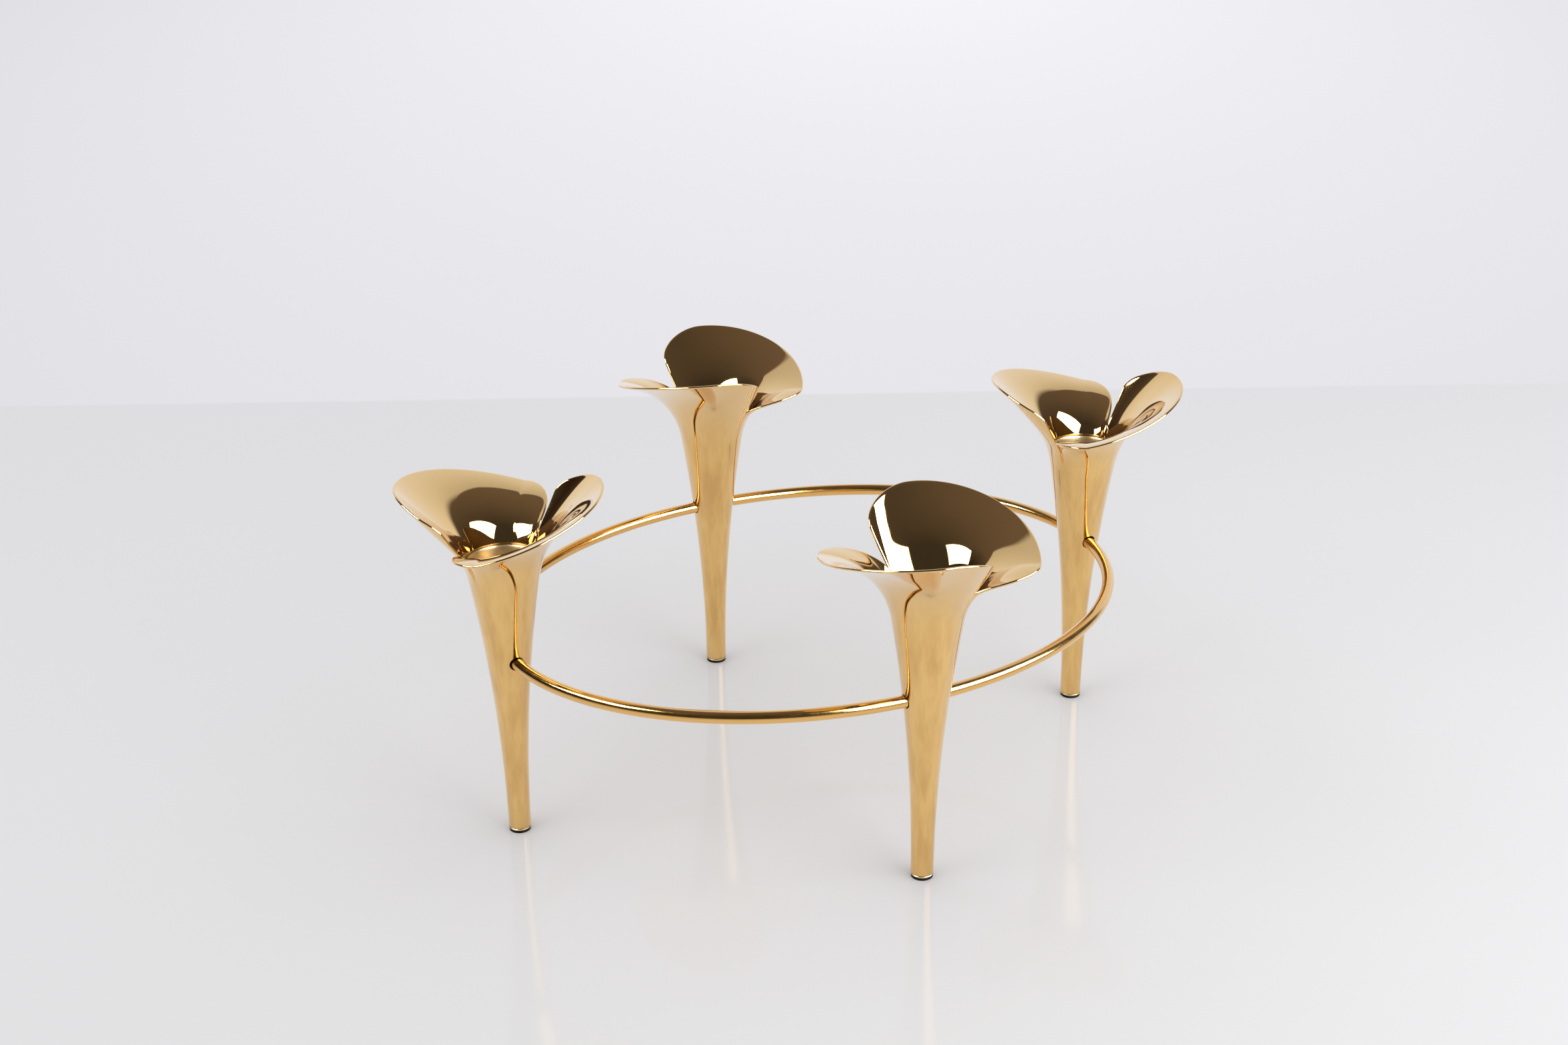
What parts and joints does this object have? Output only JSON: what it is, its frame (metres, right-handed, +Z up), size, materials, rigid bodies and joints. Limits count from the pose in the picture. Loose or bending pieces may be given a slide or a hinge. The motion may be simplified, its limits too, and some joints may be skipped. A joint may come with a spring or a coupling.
{
  "type": "candelabra",
  "caption": "Low table candelabra: slit, flower-shaped trumpet candle holders standing on small feet and joined by an oval ring of round rod.",
  "frame": {"origin": "on the ground under the middle of the oval ring", "axes": "+Z up; the oval's long axis runs along X, its short axis along Y"},
  "size_m": [0.3344, 0.2754, 0.1501],
  "materials": {
    "polished_brass": "mirror polished, gold tone",
    "turned_brass": "fine turned, bright",
    "rod_brass": "polished, deeper gold tone",
    "screw_steel": "zinc plated",
    "pad_rubber": "matt"
  },
  "bodies": {
    "root": {"trumpet_right": "polished_brass", "trumpet_back": "polished_brass", "trumpet_left": "polished_brass", "trumpet_front": "polished_brass", "candle_cup_right": "turned_brass", "candle_cup_back": "turned_brass", "candle_cup_left": "turned_brass", "candle_cup_front": "turned_brass", "cup_screw_right": "screw_steel", "cup_screw_back": "screw_steel", "cup_screw_left": "screw_steel", "cup_screw_front": "screw_steel", "joint_block_right": "turned_brass", "joint_block_back": "turned_brass", "joint_block_left": "turned_brass", "joint_block_front": "turned_brass", "grub_screw_right_near": "screw_steel", "grub_screw_right_far": "screw_steel", "grub_screw_back_near": "screw_steel", "grub_screw_back_far": "screw_steel", "grub_screw_left_near": "screw_steel", "grub_screw_left_far": "screw_steel", "grub_screw_front_near": "screw_steel", "grub_screw_front_far": "screw_steel", "foot_plug_right": "turned_brass", "foot_plug_back": "turned_brass", "foot_plug_left": "turned_brass", "foot_plug_front": "turned_brass", "foot_pad_right": "pad_rubber", "foot_pad_back": "pad_rubber", "foot_pad_left": "pad_rubber", "foot_pad_front": "pad_rubber", "ring_rod_right_back": "rod_brass", "ring_rod_back_left": "rod_brass", "ring_rod_left_front": "rod_brass", "ring_rod_front_right": "rod_brass"}
  },
  "joints": []
}
